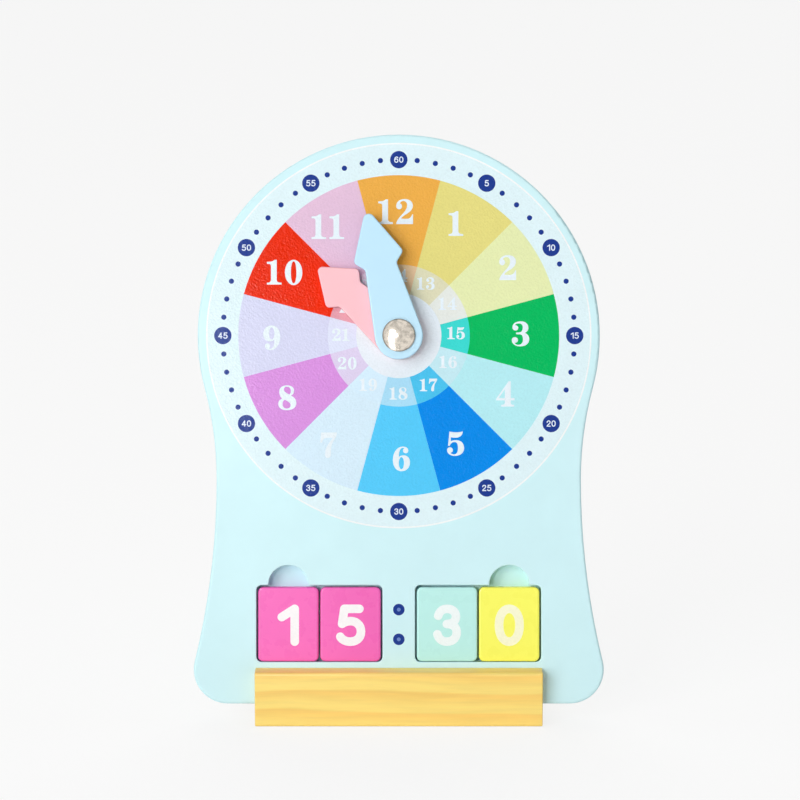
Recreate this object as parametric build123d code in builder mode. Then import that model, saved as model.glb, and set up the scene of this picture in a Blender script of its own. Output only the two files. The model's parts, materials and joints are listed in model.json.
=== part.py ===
"""A wooden teaching clock that stands in a slotted bar.

A painted board of two glued layers carries a printed dial. Two loose hands turn on one hollow rivet
at the dial's centre, and four number tiles lie in two pockets cut through the front layer. The
board's foot drops into a slot in a pine bar, which leans the board back. The dial, the digits and
the dots are printed, so they are no solids of their own.

The frame has +Z up and +X to the right of someone reading the clock, who looks along +Y. Its origin
is the middle of the bar's underside. Lengths are in millimetres and angles in degrees.
"""

import os
from math import acos, atan, atan2, cos, degrees, hypot, radians, sin

from build123d import *

# ---------------------------------------------------------------------------------------------
# Driving sizes
# ---------------------------------------------------------------------------------------------

# The board's outline: a round head, a waist and a flared foot.
dial_height = 140.0  # from the board's bottom edge up to the dial's centre
head_radius = 76.5
head_overrun = 15.0  # angle by which the round head runs on below the dial's centre, on each side
waist_inset = 7.2  # how far the waist lies inside the head's radius
foot_flare = 8.7  # how far the foot lies outside the waist
foot_corner_radius = 13.0
front_thickness = 6.0
back_thickness = 3.0
board_edge_radius = 1.0

# The stand: a bar with a leaning slot along its top.
lean = 10.0
bar_length = 109.0
bar_depth = 46.0
bar_height = 21.0
bar_edge_radius = 1.2  # along the bar
bar_end_radius = 0.4
slot_depth = 14.5
slot_front_wall = 8.0  # wood between the bar's front face and the slot's mouth
slot_clearance = 0.2  # free space on each side of the board

# The number tiles and the two pockets that hold them in pairs.
tile_width = 23.0
tile_height = 28.2
tile_thickness = 6.0
tile_corner_radius = 2.0
tile_edge_radius = 0.7
tile_side_play = 0.65  # beside and between the two tiles of a pair
tile_play_below = 0.2
tile_play_above = 0.8
pocket_corner_radius = 2.0
pocket_rim_radius = 0.4
pocket_rise = 1.4  # from the slot's mouth up to the pockets' lower edge
pocket_bridge = 12.4  # wood between the two pockets, where the colon is printed
notch_radius = 7.6  # finger notch over the outer tile of each pair

# The hands.
hand_thickness = 3.0
hand_edge_radius = 0.5
hub_radius = 9.1
neck_half_width = 6.1
barb_width = 3.6  # how far each barb stands out from the neck, and how far it slants along the hand
neck_radius = 1.9
barb_radius = 1.7
minute_neck_reach = 27.0  # from the pivot to the neck
minute_point_reach = 50.1  # from the pivot to where the head's two flanks would meet
minute_tip_radius = 2.2
minute_rest_angle = 14.5  # anticlockwise from twelve, as the reader sees it
hour_neck_reach = 24.2
hour_point_reach = 40.7
hour_tip_radius = 1.8
hour_rest_angle = 50.0

# The rivet, a tube closed at the back that takes the post of a domed cap, and its washers.
tube_radius = 2.0
tube_wall = 0.75
post_clearance = 0.03
washer_clearance = 0.03
hand_bore_clearance = 0.06
board_bore_clearance = 0.1
running_gap = 0.1  # between faces that slide on each other
dome_radius = 6.2
dome_rim = 0.5
dome_rise = 2.7
back_head_radius = 5.6
back_head_rim = 0.5
back_head_rise = 1.3
back_washer_radius = 7.5
back_washer_thickness = 0.8
dial_washer_radius = 7.0
dial_washer_thickness = 0.6
hand_washer_radius = 6.0
hand_washer_thickness = 0.5

# ---------------------------------------------------------------------------------------------
# Sizes and planes that follow from them
# ---------------------------------------------------------------------------------------------

board_thickness = front_thickness + back_thickness
slot_width = board_thickness + 2 * slot_clearance

# The board's own axes: x to the right, y up along the leaning board, z out of its face.
board_up = Vector(0, sin(radians(lean)), cos(radians(lean)))
board_normal = Vector(0, -cos(radians(lean)), sin(radians(lean)))
slot_mouth = Vector(0, slot_front_wall - bar_depth / 2 + slot_width / 2 / cos(radians(lean)), bar_height)
slot_floor = slot_mouth - board_up * slot_depth
back_plane = Plane(
    origin=slot_floor - board_normal * (board_thickness / 2),
    x_dir=(1, 0, 0),
    z_dir=board_normal,
)
layer_plane = back_plane.offset(back_thickness)  # where the two layers are glued
face_plane = back_plane.offset(board_thickness)  # the printed face
dial_centre = Vector(0, dial_height)

# The outline's arcs meet tangentially.
overrun = radians(head_overrun)
head_end = Vector(head_radius * cos(overrun), dial_height - head_radius * sin(overrun))
waist_half_width = head_radius - waist_inset
upper_waist_radius = (head_end.X - waist_half_width) / (1 - cos(overrun))
waist_height = head_end.Y - upper_waist_radius * sin(overrun)
flare_angle = 2 * atan(foot_flare / (waist_height - foot_corner_radius))
lower_waist_radius = (waist_height - foot_corner_radius) / sin(flare_angle) - foot_corner_radius

# The pockets and their tiles, on the board.
pocket_width = 2 * tile_width + 3 * tile_side_play
pocket_height = tile_height + tile_play_below + tile_play_above
pocket_bottom = slot_depth + pocket_rise
pocket_top = pocket_bottom + pocket_height
pocket_x = (pocket_bridge + pocket_width) / 2
tile_offset = (tile_width + tile_side_play) / 2  # from a pocket's middle to a tile's middle
tile_y = pocket_bottom + tile_play_below + tile_height / 2

# Heights of the stack on the pivot, above the board's back face.
hour_hand_z = board_thickness + dial_washer_thickness + running_gap
hand_washer_z = hour_hand_z + hand_thickness + running_gap
minute_hand_z = hand_washer_z + hand_washer_thickness + running_gap
dome_z = minute_hand_z + hand_thickness + running_gap
tube_bore = tube_radius - tube_wall


def dial_plane(height, turn=0.0):
    """The plane at the dial's centre, that far above the board's back face, turned anticlockwise."""
    centre = back_plane.offset(height).from_local_coords(dial_centre)
    right = Vector(1, 0, 0) * cos(radians(turn)) + board_up * sin(radians(turn))
    return Plane(origin=centre, x_dir=right, z_dir=board_normal)


def section_plane(height, up=1):
    """The plane through the pivot's axis whose Y runs out of the board's face or, with up=-1, its back."""
    return Plane(origin=dial_plane(height).origin, x_dir=(1, 0, 0), z_dir=board_up * -up)


pivot_axis = Axis(dial_plane(0).origin, board_normal)

# ---------------------------------------------------------------------------------------------
# Shared outlines, drawn flat
# ---------------------------------------------------------------------------------------------

# The board's face, with its bottom edge on the X axis.
with BuildSketch() as board_outline:
    with BuildLine():
        head = JernArc((0, dial_height + head_radius), (1, 0), head_radius, -(90 + head_overrun))
        waist = JernArc(head @ 1, head % 1, upper_waist_radius, head_overrun)
        flare = JernArc(waist @ 1, waist % 1, lower_waist_radius, degrees(flare_angle))
        corner = JernArc(flare @ 1, flare % 1, foot_corner_radius, -(90 + degrees(flare_angle)))
        Line(corner @ 1, (0, 0))
        mirror(about=Plane.YZ)
    make_face()
    with Locations(dial_centre):
        Circle(tube_radius + board_bore_clearance, mode=Mode.SUBTRACT)


def hand_outline(neck_reach, point_reach, tip_radius):
    """A hand that points along +Y from its pivot: a round hub, a tapering shaft and a barbed head."""
    neck = (neck_half_width, neck_reach)
    shoulder = (neck_half_width + barb_width, neck_reach + barb_width)
    side_angle = atan2(neck[1], neck[0]) - acos(hub_radius / hypot(*neck))
    hub_side = (hub_radius * cos(side_angle), hub_radius * sin(side_angle))
    with BuildSketch() as outline:
        with BuildLine():
            Polyline((0, 0), hub_side, neck, shoulder, (0, point_reach))
            mirror(about=Plane.YZ)
        make_face()
        corner_radii = {neck[1]: neck_radius, shoulder[1]: barb_radius, point_reach: tip_radius}
        for reach, radius in corner_radii.items():
            fillet(outline.vertices().filter_by_position(Axis.Y, reach - 0.01, reach + 0.01), radius)
        Circle(hub_radius)
        Circle(tube_radius + hand_bore_clearance, mode=Mode.SUBTRACT)
    return outline.sketch


def washer_outline(outer_radius):
    """A washer that sits snugly on the rivet's tube."""
    with BuildSketch() as outline:
        Circle(outer_radius)
        Circle(tube_radius + washer_clearance, mode=Mode.SUBTRACT)
    return outline.sketch


def dome_section(radius, rim, rise):
    """Half of a domed head's section, standing on the X axis, to be revolved about Y."""
    sphere_radius = (radius**2 + rise**2) / (2 * rise)
    half_angle = atan2(radius, sphere_radius - rise) / 2
    crown = (sphere_radius * sin(half_angle), rim + rise - sphere_radius * (1 - cos(half_angle)))
    with BuildSketch() as section:
        with BuildLine():
            Polyline((0, rim + rise), (0, 0), (radius, 0), (radius, rim))
            ThreePointArc((radius, rim), crown, (0, rim + rise))
        make_face()
    return section.sketch


# ---------------------------------------------------------------------------------------------
# The stand
# ---------------------------------------------------------------------------------------------

with BuildPart() as stand_bar:
    Box(bar_length, bar_depth, bar_height, align=(Align.CENTER, Align.CENTER, Align.MIN))
    fillet(stand_bar.edges().filter_by(Axis.X), bar_edge_radius)
    fillet(stand_bar.edges().filter_by(Axis.X, reverse=True), bar_end_radius)
    with BuildSketch(back_plane.offset(-slot_clearance)):
        Rectangle(bar_length + 2, 2 * slot_depth, align=(Align.CENTER, Align.MIN))
    extrude(amount=slot_width, mode=Mode.SUBTRACT)
stand_bar.part.label = "stand_bar"

# ---------------------------------------------------------------------------------------------
# The board's two layers
# ---------------------------------------------------------------------------------------------

with BuildPart() as back_panel:
    with BuildSketch(back_plane):
        add(board_outline.sketch)
    extrude(amount=back_thickness)
    rear_face = back_panel.faces().sort_by(pivot_axis)[0]
    fillet(rear_face.outer_wire().edges(), board_edge_radius)
back_panel.part.label = "back_panel"

with BuildPart() as front_panel:
    with BuildSketch(layer_plane):
        add(board_outline.sketch)
        with Locations(*[(side * pocket_x, pocket_bottom + pocket_height / 2) for side in (-1, 1)]):
            RectangleRounded(pocket_width, pocket_height, pocket_corner_radius, mode=Mode.SUBTRACT)
        with Locations(*[(side * (pocket_x + tile_offset), pocket_top) for side in (-1, 1)]):
            Circle(notch_radius, mode=Mode.SUBTRACT)
    extrude(amount=front_thickness)
    outer_rim = front_panel.faces().sort_by(pivot_axis)[-1].outer_wire()
    fillet(outer_rim.edges(), board_edge_radius)
    inner_rims = front_panel.faces().sort_by(pivot_axis)[-1].inner_wires()
    fillet(inner_rims.filter_by(lambda rim: rim.length > pocket_width).edges(), pocket_rim_radius)
front_panel.part.label = "front_panel"

# ---------------------------------------------------------------------------------------------
# The pivot, from the back of the board to the front
# ---------------------------------------------------------------------------------------------

with BuildPart() as rivet_back:
    with BuildSketch(section_plane(-back_washer_thickness, up=-1)):
        add(dome_section(back_head_radius, back_head_rim, back_head_rise))
    revolve(axis=pivot_axis)
    with BuildSketch(dial_plane(-back_washer_thickness)):
        Circle(tube_radius)
        Circle(tube_bore, mode=Mode.SUBTRACT)
    extrude(amount=dome_z + back_washer_thickness)
rivet_back.part.label = "rivet_back"

with BuildPart() as back_washer:
    with BuildSketch(dial_plane(-back_washer_thickness)):
        add(washer_outline(back_washer_radius))
    extrude(amount=back_washer_thickness)
back_washer.part.label = "back_washer"

with BuildPart() as dial_washer:
    with BuildSketch(dial_plane(board_thickness)):
        add(washer_outline(dial_washer_radius))
    extrude(amount=dial_washer_thickness)
dial_washer.part.label = "dial_washer"

with BuildPart() as hour_hand:
    with BuildSketch(dial_plane(hour_hand_z, hour_rest_angle)):
        add(hand_outline(hour_neck_reach, hour_point_reach, hour_tip_radius))
    extrude(amount=hand_thickness)
    hour_top = hour_hand.faces().sort_by(pivot_axis)[-1]
    fillet(hour_top.outer_wire().edges(), hand_edge_radius)
hour_hand.part.label = "hour_hand"

with BuildPart() as hand_washer:
    with BuildSketch(dial_plane(hand_washer_z)):
        add(washer_outline(hand_washer_radius))
    extrude(amount=hand_washer_thickness)
hand_washer.part.label = "hand_washer"

with BuildPart() as minute_hand:
    with BuildSketch(dial_plane(minute_hand_z, minute_rest_angle)):
        add(hand_outline(minute_neck_reach, minute_point_reach, minute_tip_radius))
    extrude(amount=hand_thickness)
    minute_top = minute_hand.faces().sort_by(pivot_axis)[-1]
    fillet(minute_top.outer_wire().edges(), hand_edge_radius)
minute_hand.part.label = "minute_hand"

with BuildPart() as rivet_front:
    with BuildSketch(section_plane(dome_z)):
        add(dome_section(dome_radius, dome_rim, dome_rise))
    revolve(axis=pivot_axis)
    with BuildSketch(dial_plane(0)):
        Circle(tube_bore - post_clearance)
    extrude(amount=dome_z)
rivet_front.part.label = "rivet_front"

# ---------------------------------------------------------------------------------------------
# The number tiles
# ---------------------------------------------------------------------------------------------

tile_places = {
    "hours_tens_tile": -pocket_x - tile_offset,
    "hours_units_tile": -pocket_x + tile_offset,
    "minutes_tens_tile": pocket_x - tile_offset,
    "minutes_units_tile": pocket_x + tile_offset,
}
tiles = []
for tile_name, tile_x in tile_places.items():
    with BuildPart() as tile:
        with BuildSketch(layer_plane):
            with Locations((tile_x, tile_y)):
                RectangleRounded(tile_width, tile_height, tile_corner_radius)
        extrude(amount=tile_thickness)
        fillet(tile.faces().sort_by(pivot_axis)[-1].edges(), tile_edge_radius)
    tile.part.label = tile_name
    tiles.append(tile)

# ---------------------------------------------------------------------------------------------
# Files
# ---------------------------------------------------------------------------------------------

os.makedirs("parts", exist_ok=True)
pivot_pieces = [rivet_back, back_washer, dial_washer, hour_hand, hand_washer, minute_hand, rivet_front]
for piece in [stand_bar, back_panel, front_panel, *pivot_pieces, *tiles]:
    export_step(piece.part, f"parts/{piece.part.label}.step")
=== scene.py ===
"""Dresses a wooden teaching clock: the print on its dial, its finishes and a plain stage.

The dial's own axes run to the right, up along the leaning board and out of its face. They start at
the dial's centre, on the face. Outlines are drawn in millimetres on these axes, and meshes are in
metres. Angles on the dial are in degrees and run anticlockwise from the right.
"""

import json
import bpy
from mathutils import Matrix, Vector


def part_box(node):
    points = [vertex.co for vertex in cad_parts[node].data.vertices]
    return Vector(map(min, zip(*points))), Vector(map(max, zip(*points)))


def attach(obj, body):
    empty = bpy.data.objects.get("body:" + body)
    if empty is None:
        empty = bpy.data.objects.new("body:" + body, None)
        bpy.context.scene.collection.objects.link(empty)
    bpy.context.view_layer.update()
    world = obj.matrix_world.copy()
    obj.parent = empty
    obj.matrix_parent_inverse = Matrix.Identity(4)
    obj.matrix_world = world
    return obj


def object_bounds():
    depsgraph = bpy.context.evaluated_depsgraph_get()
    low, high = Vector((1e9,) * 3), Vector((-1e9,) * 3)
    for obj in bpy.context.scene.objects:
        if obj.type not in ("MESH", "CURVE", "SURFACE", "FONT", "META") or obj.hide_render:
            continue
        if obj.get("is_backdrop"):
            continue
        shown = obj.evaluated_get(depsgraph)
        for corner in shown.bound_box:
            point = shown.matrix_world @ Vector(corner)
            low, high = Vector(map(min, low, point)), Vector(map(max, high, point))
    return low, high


bl_info = {
    "name": "Teaching clock dress",
    "version": (1, 0, 0),
    "blender": (4, 5, 0),
    "location": "3D View > Sidebar > Teaching Clock",
    "description": "Prints, paints and lights a wooden teaching clock",
    "category": "Object",
}

from math import atan2, cos, degrees, pi, radians, sin
from types import SimpleNamespace

import bpy
import bmesh
from mathutils import Matrix, Vector
from mathutils.geometry import delaunay_2d_cdt

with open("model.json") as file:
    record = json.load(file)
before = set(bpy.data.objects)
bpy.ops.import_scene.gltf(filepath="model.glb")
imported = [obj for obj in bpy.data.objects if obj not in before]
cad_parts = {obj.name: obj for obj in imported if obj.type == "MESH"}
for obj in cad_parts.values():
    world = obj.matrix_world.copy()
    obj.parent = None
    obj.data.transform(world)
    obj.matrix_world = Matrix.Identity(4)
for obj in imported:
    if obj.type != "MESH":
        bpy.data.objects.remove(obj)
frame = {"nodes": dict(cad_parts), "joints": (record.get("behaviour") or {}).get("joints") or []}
CAD_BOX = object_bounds()

# --- The dial's axes, from the frame ---

MM = 0.001
JOINTS = {joint["name"]: joint for joint in frame["joints"]}
DIAL_CENTRE = Vector(JOINTS["minute_hand_turn"]["pos_m"])
OUT = -Vector(JOINTS["minute_hand_turn"]["axis"]).normalized()
UP = Vector(JOINTS["board_lift"]["axis"]).normalized()
RIGHT = UP.cross(OUT)
DIAL_AXES = Matrix.Translation(DIAL_CENTRE) @ Matrix((RIGHT, UP, OUT)).transposed().to_4x4()
DIAL_MM = DIAL_AXES @ Matrix.Scale(MM, 4)

# --- Digits ---

ROUND = 0.5523  # a Bezier handle's share of the radius that draws a circle


def oval(x, y, wide, high, pull_x=ROUND, pull_y=ROUND):
    """A closed outline round (x, y) with those half sizes, and how full its four quarters are."""
    a, b = wide * pull_x, high * pull_y
    return [
        (x + wide, y),
        (x + wide, y + b, x + a, y + high, x, y + high),
        (x - a, y + high, x - wide, y + b, x - wide, y),
        (x - wide, y - b, x - a, y - high, x, y - high),
        (x + a, y - high, x + wide, y - b, x + wide, y),
    ]


def half_turn(outlines, width, height):
    """The outlines turned upside down inside a box of that size."""
    return [
        [tuple((height if i % 2 else width) - v for i, v in enumerate(part)) for part in outline]
        for outline in outlines
    ]


# Slab-serif digits for the hours, 24.8 units high on a baseline at 0. Each has its width and its
# outlines, the first filled and the others cut out. Two numbers are a corner, and six are the two
# handles and the end of a Bezier curve.
SERIF_SIX = [[
    (15.5, 20.2), (15.5, 22.6, 13.4, 24.3, 10, 24.3), (4.3, 24.3, 0, 18.4, 0, 10.9),
    (0, 4, 3.5, -0.5, 8.6, -0.5), (13.8, -0.5, 17.2, 3.4, 17.2, 8.2),
    (17.2, 12.9, 14.6, 15.5, 10.9, 15.5), (9, 15.5, 7.4, 15, 6.1, 13.8),
    (5.9, 19.4, 7.3, 22.9, 10, 22.9), (10.7, 22.9, 11.2, 22.8, 11.6, 22.5),
    (10.7, 22, 10.2, 21.2, 10.2, 20.2), (10.2, 18.7, 11.3, 17.5, 12.9, 17.5),
    (14.4, 17.5, 15.5, 18.7, 15.5, 20.2),
], oval(8.6, 7.6, 2.6, 6.1, 0.5, 0.62)]
SERIF_DIGITS = {
    "0": (17.5, [
        oval(8.75, 12.15, 8.75, 12.75, 0.55, 0.56), oval(8.75, 12.2, 2.75, 11.1, 0.5, 0.66)]),
    "1": (14.7, [[
        (0, 0), (14.7, 0), (14.7, 1.9), (11.2, 1.9, 9.8, 2.4, 9.8, 5.2), (9.8, 24.8), (7.4, 24.8),
        (5.8, 22.9, 3.4, 22.8, 0, 22.8), (0, 20.8), (2.8, 20.8, 4, 20.5, 4, 18), (4, 5.2),
        (4, 2.4, 2.8, 1.9, 0, 1.9),
    ]]),
    "2": (16.9, [[
        (5.8, 17.8), (5.8, 16.1, 4.6, 14.8, 3, 14.8), (1.2, 14.8, 0, 16.2, 0, 18.2),
        (0, 22.3, 3.6, 25.1, 8.4, 25.1), (13.4, 25.1, 16.7, 22.6, 16.7, 18.6),
        (16.7, 13.6, 12.2, 11.2, 9, 9.2), (6.8, 7.8, 5.6, 6.8, 5, 5.5),
        (8.5, 5.2, 13.2, 4.6, 14.6, 7), (15.3, 8.1, 15.7, 8.9, 16, 9.8), (16.9, 9.8), (16.9, 0),
        (0.1, 0), (0.1, 1.2), (1.6, 5.6, 5.2, 8.8, 8, 12), (9.8, 14.1, 10.9, 16.3, 10.9, 18.7),
        (10.9, 21.3, 9.6, 23.1, 7.4, 23.1), (5.6, 23.1, 4.2, 22.3, 3.8, 20.6),
        (5, 20.4, 5.8, 19.3, 5.8, 17.8),
    ]]),
    "3": (17.4, [[
        (6.4, 18.2), (6.4, 16.7, 5.3, 15.6, 3.7, 15.6), (1.9, 15.6, 0.5, 16.9, 0.5, 18.8),
        (0.5, 22.5, 4, 24.9, 8.9, 24.9), (13.6, 24.9, 16.5, 22.4, 16.5, 18.4),
        (16.5, 15.9, 15.2, 14.2, 12.9, 13.3), (15.8, 12.3, 17.4, 9.9, 17.4, 6.6),
        (17.4, 2.3, 13.6, -0.3, 8.2, -0.3), (3.3, -0.3, -0.1, 2.3, -0.1, 6.1),
        (-0.1, 7.9, 1.2, 9, 3, 9), (4.8, 9, 6.1, 7.8, 6.1, 6.1), (6.1, 4.5, 4.8, 3.2, 2.8, 3.2),
        (3.5, 1.9, 4.7, 1.3, 6.4, 1.3), (9.6, 1.3, 11.1, 3.4, 11.1, 6.7),
        (11.1, 9.9, 9.9, 11.8, 7.9, 11.8), (5.2, 11.8), (4.4, 11.8, 4.1, 12.2, 4.1, 12.75),
        (4.1, 13.3, 4.4, 13.7, 5.2, 13.7), (7.4, 13.8), (9.8, 13.9, 10.9, 16, 10.9, 18.9),
        (10.9, 21.3, 9.5, 22.7, 7.1, 22.7), (5.2, 22.7, 3.8, 22.2, 3.2, 21),
        (5.2, 20.9, 6.4, 19.8, 6.4, 18.2),
    ]]),
    "4": (18.6, [[
        (0, 6.2), (0, 7.6), (12.6, 25.4), (14.8, 25.4), (14.8, 8.5), (18.6, 8.5), (18.6, 6.2),
        (14.8, 6.2), (14.8, 4.2), (14.8, 2.2, 15.6, 1.8, 18.2, 1.8), (18.2, 0), (5.1, 0),
        (5.1, 1.8), (7.8, 1.8, 8.8, 2.2, 8.8, 4.2), (8.8, 6.2),
    ], [
        (2.7, 8.5), (8.8, 8.5), (8.8, 17.4),
    ]]),
    "5": (17.1, [[
        (2.4, 24.1), (6.8, 23, 11.2, 23, 15.8, 24.1), (15.4, 20.4, 13, 17.8, 8.4, 17.8),
        (6.6, 17.8, 5.2, 17.9, 3.9, 18.2), (3.5, 14.2), (5.2, 15.1, 7.2, 15.4, 9.2, 15.4),
        (14, 15.4, 17.1, 12.1, 17.1, 7.4), (17.1, 2.6, 13.2, -0.4, 7.9, -0.4),
        (3.3, -0.4, 0, 2, 0, 5.4), (0, 7.1, 1.2, 8.3, 2.9, 8.3), (4.6, 8.3, 5.8, 7.1, 5.8, 5.4),
        (5.8, 3.9, 4.9, 2.9, 3.4, 2.7), (4.2, 1.7, 5.6, 1.2, 7.1, 1.2),
        (9.7, 1.2, 10.9, 3.6, 10.9, 7.6), (10.9, 11.6, 9.8, 13.5, 7.4, 13.5),
        (5, 13.5, 3.4, 12, 2.7, 9.6), (1, 9.8),
    ]]),
    "6": (17.2, SERIF_SIX),
    "7": (16.8, [[
        (1, 25.2), (16.8, 25.2), (16.8, 22.5, 16, 20.6, 14.6, 18.6),
        (12.2, 14.9, 10.8, 11.6, 10.8, 6.5), (10.8, 5.2, 10.8, 3.9, 10.7, 3),
        (10.6, 0.9, 9.4, -0.4, 7.7, -0.4), (5.9, -0.4, 4.8, 1, 4.8, 3.3),
        (4.8, 8.4, 7, 12.8, 12.6, 19.5), (9.6, 20, 4.2, 20.3, 2.9, 17.9),
        (2.4, 17, 2.2, 16.2, 2, 15), (0, 15),
    ]]),
    "8": (18.2, [[
        (8.8, 24.8), (13.2, 24.8, 15.9, 22.8, 15.9, 19.8), (15.9, 17.2, 15, 15.5, 13, 14.5),
        (16.4, 12.6, 18.2, 10.3, 18.2, 7), (18.2, 2.6, 14.4, -0.3, 8.8, -0.3),
        (3.6, -0.3, 0, 2.2, 0, 6.1), (0, 8.6, 1.3, 10.3, 3.9, 11.4), (1.9, 13, 1, 15.6, 1, 18.6),
        (1, 22.2, 4, 24.8, 8.8, 24.8),
    ], [
        (8.7, 23.4), (11.2, 23.4, 12.7, 21.6, 12.7, 19.2), (12.7, 17.4, 12.2, 16.3, 11.1, 15.5),
        (8.2, 16.9, 5.7, 18.6, 5.7, 20.6), (5.7, 22.3, 6.9, 23.4, 8.7, 23.4),
    ], [
        (6.6, 10.3), (9.6, 8.6, 12.4, 7.3, 12.4, 4.9), (12.4, 2.9, 11, 1.5, 8.5, 1.5),
        (5.9, 1.5, 4.4, 3.5, 4.4, 6.2), (4.4, 8.1, 5.2, 9.5, 6.6, 10.3),
    ]]),
    "9": (17.2, half_turn(SERIF_SIX, 17.2, 24.2)),
}
SERIF_HEIGHT = 24.8
SERIF_GAP = 3.3

# Round-ended digits for the tiles and the minutes, drawn with one even stroke. Each has its width
# and the strokes' middle lines, and the outer height is 10 units on a baseline at 0.
STROKE_DIGITS = {
    "0": (7, [oval(3.5, 5, 2.5, 4, 0.56, 0.64)]),
    "1": (5.2, [[(1, 7), (4.15, 9), (4.15, 1)]]),
    "2": (6.8, [[
        (1.1, 6.8), (1.2, 8.2, 2.1, 9, 3.4, 9), (4.8, 9, 5.6, 8.1, 5.6, 6.9),
        (5.6, 4.7, 1.9, 3.6, 1.05, 1),
    ], [
        (1.05, 1), (5.8, 1),
    ]]),
    "3": (6.7, [[
        (1.2, 7.3), (1.5, 8.4, 2.3, 9, 3.35, 9), (4.7, 9, 5.5, 8.2, 5.5, 7.1),
        (5.5, 6, 4.7, 5.3, 3.3, 5.3),
    ], [
        (3.3, 5.3), (4.9, 5.3, 5.7, 4.5, 5.7, 3.2), (5.7, 1.9, 4.7, 1, 3.3, 1),
        (2.1, 1, 1.3, 1.7, 1, 2.8),
    ]]),
    "4": (7.2, [[(4.7, 1), (4.7, 9)], [(4.7, 9), (1, 3.2), (6.2, 3.2)]]),
    "5": (7.1, [[
        (5.7, 9), (2.05, 9), (1.5, 5.35),
    ], [
        (1.5, 5.35), (2.1, 5.8, 2.8, 6, 3.6, 6), (5.1, 6, 6.1, 4.9, 6.1, 3.5),
        (6.1, 2, 5.1, 1, 3.5, 1), (2.4, 1, 1.5, 1.45, 1.05, 2.2),
    ]]),
    "6": (7, [
        oval(3.5, 3.55, 2.5, 2.55), [
        (1, 3.7), (1, 6.7, 2, 9, 4, 9), (4.9, 9, 5.5, 8.6, 5.8, 7.8),
    ]]),
}
STROKE_HEIGHT = 10.0
STROKE_WIDTH = 2.1
STROKE_GAP = 0.6

# --- Flat shapes ---

CURVE_STEPS = 7  # the straight pieces that draw one Bezier curve
SAME_POINT = 1e-5  # points nearer to each other than this are one
SHARP_TURN = 0.35  # in radians: from here on, a line's outer corner is rounded
MITRE_LIMIT = 0.3  # keeps a line's inner corner from reaching out too far
ROUND_STEP = 15  # in degrees, along a line's round ends and corners


def traced(outline):
    """The points along an outline, its curves as short straight pieces."""
    points = [Vector(outline[0])]
    for part in outline[1:]:
        if len(part) == 2:
            points.append(Vector(part))
            continue
        a, b, c, d = points[-1], Vector(part[:2]), Vector(part[2:4]), Vector(part[4:])
        for i in range(1, CURVE_STEPS + 1):
            t = i / CURVE_STEPS
            s = 1 - t
            points.append(a * s**3 + b * (3 * s * s * t) + c * (3 * s * t * t) + d * t**3)
    if (points[0] - points[-1]).length < SAME_POINT:
        points.pop()
    return points


def arc(radius, start, end, centre=(0, 0), step=1.5):
    """Points along an arc, both ends included."""
    count = max(2, round(abs(end - start) / step))
    turns = [radians(start + (end - start) * i / count) for i in range(count + 1)]
    return [Vector((centre[0] + radius * cos(t), centre[1] + radius * sin(t))) for t in turns]


def disc(radius, centre=(0, 0), step=3.0):
    """Points round a whole circle."""
    return arc(radius, 0, 360, centre, step)[:-1]


def ring_part(inner, outer, start, end):
    """The outline of one piece of a ring, between two angles."""
    return arc(outer, start, end) + arc(inner, end, start)


def stroke(points, width, closed):
    """The outlines of a line of that width: one with round ends, or an outer and an inner one."""
    half = width / 2

    def side(path, ends_at):
        """One side of the path, with round corners where it lies outside them."""
        edge = []
        for i in range(*ends_at):
            before = (path[i] - path[i - 1]).normalized()
            after = (path[(i + 1) % len(path)] - path[i]).normalized()
            turn = atan2(before.x * after.y - before.y * after.x, before.dot(after))
            left = Vector((-before.y, before.x))
            if turn < -SHARP_TURN:
                first = degrees(atan2(left.y, left.x))
                edge += arc(half, first, first + degrees(turn), path[i], ROUND_STEP)
            else:
                middle = Matrix.Rotation(turn / 2, 2) @ left
                edge.append(path[i] + middle * (half / max(cos(turn / 2), MITRE_LIMIT)))
        return edge

    def cap(end, inner):
        """The round end of the line, from its left side to its right side."""
        way = end - inner
        first = degrees(atan2(way.y, way.x)) + 90
        return arc(half, first, first - 180, end, ROUND_STEP)

    back = points[::-1]
    if closed:
        return [side(back, (0, len(back))), side(points, (0, len(points)))]
    inner = (1, len(points) - 1)
    there = side(points, inner) + cap(points[-1], points[-2])
    return [there + side(back, inner) + cap(back[-1], back[-2])]


def in_a_row(text, digits, gap, scale, x):
    """The left edge and the outlines of each digit of a number that is centred on x."""
    left = x - scale * (sum(digits[digit][0] for digit in text) + gap * (len(text) - 1)) / 2
    for digit in text:
        width, outlines = digits[digit]
        yield left, outlines
        left += scale * (width + gap)


def placed(outline, scale, x, y):
    """The points along an outline, scaled and moved."""
    return [Vector((x + point.x * scale, y + point.y * scale)) for point in traced(outline)]


def serif_number(text, height, x, y):
    """A slab-serif number of that height, centred on (x, y), as one area for each digit."""
    scale = height / SERIF_HEIGHT
    areas = []
    for left, outlines in in_a_row(text, SERIF_DIGITS, SERIF_GAP, scale, x):
        loops = [placed(outline, scale, left, y - height / 2) for outline in outlines]
        areas.append((loops[:1], loops[1:]))
    return areas


def stroke_number(text, height, x, y, weight=1.0):
    """A round-ended number of that height, centred on (x, y), as one area for each digit."""
    scale = height / STROKE_HEIGHT
    areas = []
    for left, lines in in_a_row(text, STROKE_DIGITS, STROKE_GAP, scale, x):
        filled, cut = [], []
        for line in lines:
            closed = line[0] == line[-1][-2:]
            points = placed(line, scale, left, y - height / 2)
            outlines = stroke(points, STROKE_WIDTH * weight * scale, closed)
            filled += outlines[:1]
            cut += outlines[1:]
        areas.append((filled, cut))
    return areas


# --- Pieces ---

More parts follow.
